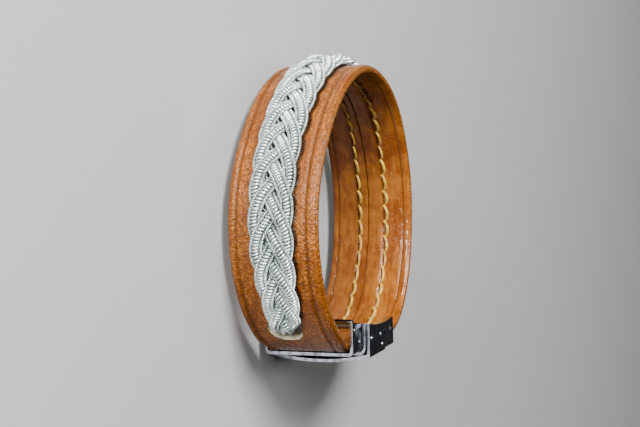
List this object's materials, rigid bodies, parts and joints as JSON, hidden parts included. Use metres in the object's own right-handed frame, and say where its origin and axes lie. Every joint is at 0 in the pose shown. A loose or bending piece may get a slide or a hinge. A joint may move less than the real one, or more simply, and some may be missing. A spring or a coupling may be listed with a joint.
{
  "type": "leather bracelet with a metal-thread braid and fold-over clasp",
  "caption": "Closed leather bracelet with a flat braid of wound metal thread along its outside and a hinged fold-over clasp, lying on its side.",
  "frame": {"origin": "on the surface that it lies on, under the middle of the whole bracelet's box", "axes": "+Z along the loop's axis, up from the surface; the clasp is at -Y, the top of the loop as pictured at +Y, the front of the loop at -X"},
  "size_m": [0.0682, 0.0647, 0.0228],
  "materials": {
    "leather": "waxed cognac leather with a fine pebble grain outside and a smooth glossy inside",
    "pewter_thread": "bright wound pewter wire",
    "steel": "polished steel sheet",
    "stitching": "waxed pale yellow thread"
  },
  "bodies": {
    "bracelet": {"leather_band": "leather", "braid_strand_1": "pewter_thread", "braid_strand_2": "pewter_thread", "braid_strand_3": "pewter_thread", "braid_strand_4": "pewter_thread", "braid_strand_5": "pewter_thread", "front_tray": "steel", "back_housing": "steel", "hinge_pin": "steel"},
    "cover": {"clasp_cover": "steel"}
  },
  "joints": [
    {"name": "cover_hinge", "type": "hinge", "parent": "bracelet", "child": "cover", "pos_m": [0.0064, -0.02696, 0.01141], "axis": [0, 0, 1], "range_deg": [0, 90]}
  ]
}
